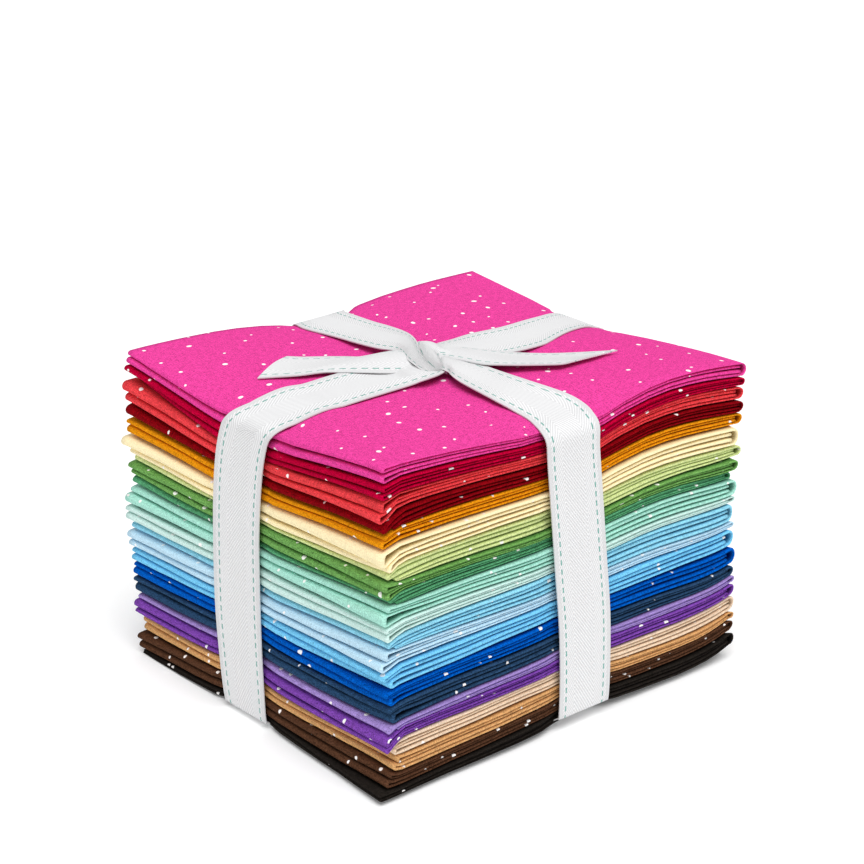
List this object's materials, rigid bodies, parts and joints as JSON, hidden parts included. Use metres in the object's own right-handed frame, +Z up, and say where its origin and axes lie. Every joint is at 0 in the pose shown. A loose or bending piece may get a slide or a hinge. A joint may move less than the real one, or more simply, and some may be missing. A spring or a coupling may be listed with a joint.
{
  "type": "fat quarter bundle",
  "caption": "Stack of folded cotton quarters in bright plain colours with scattered white flecks, tied both ways with a white twill ribbon and a flat knot.",
  "frame": {"origin": "centre of the underside, where the two turns of the ribbon cross", "axes": "+Z up, +X along the folded strips towards their centre folds, +Y across the strips towards their back edges"},
  "size_m": [0.1406, 0.1256, 0.1086],
  "materials": {
    "cotton_hot_pink": "matt plain weave with white flecks",
    "cotton_cerise": "matt plain weave with white flecks",
    "cotton_coral": "matt plain weave with white flecks",
    "cotton_dark_red": "matt plain weave with white flecks",
    "cotton_gold": "matt plain weave with white flecks",
    "cotton_cream": "matt plain weave with white flecks",
    "cotton_lime": "matt plain weave with white flecks",
    "cotton_green": "matt plain weave with white flecks",
    "cotton_emerald": "matt plain weave with white flecks",
    "cotton_mint": "matt plain weave with white flecks",
    "cotton_pale_mint": "matt plain weave with white flecks",
    "cotton_steel_blue": "matt plain weave with white flecks",
    "cotton_pale_blue": "matt plain weave with white flecks",
    "cotton_sky_blue": "matt plain weave with white flecks",
    "cotton_royal_blue": "matt plain weave with white flecks",
    "cotton_navy": "matt plain weave with white flecks",
    "cotton_lavender": "matt plain weave with white flecks",
    "cotton_purple": "matt plain weave with white flecks",
    "cotton_beige": "matt plain weave with white flecks",
    "cotton_tan": "matt plain weave with white flecks",
    "cotton_brown": "matt plain weave with white flecks",
    "cotton_black": "matt plain weave with white flecks",
    "twill_ribbon": "white herringbone twill with a row of green running stitch near each edge"
  },
  "bodies": {
    "root": {"quarter_01_hot_pink": "cotton_hot_pink", "quarter_02_cerise": "cotton_cerise", "quarter_03_coral": "cotton_coral", "quarter_04_dark_red": "cotton_dark_red", "quarter_05_gold": "cotton_gold", "quarter_06_cream": "cotton_cream", "quarter_07_lime": "cotton_lime", "quarter_08_green": "cotton_green", "quarter_09_emerald": "cotton_emerald", "quarter_10_mint": "cotton_mint", "quarter_11_pale_mint": "cotton_pale_mint", "quarter_12_steel_blue": "cotton_steel_blue", "quarter_13_pale_blue": "cotton_pale_blue", "quarter_14_sky_blue": "cotton_sky_blue", "quarter_15_royal_blue": "cotton_royal_blue", "quarter_16_navy": "cotton_navy", "quarter_17_lavender": "cotton_lavender", "quarter_18_purple": "cotton_purple", "quarter_19_beige": "cotton_beige", "quarter_20_tan": "cotton_tan", "quarter_21_brown": "cotton_brown", "quarter_22_black": "cotton_black", "tie_ribbon": "twill_ribbon"}
  },
  "joints": []
}
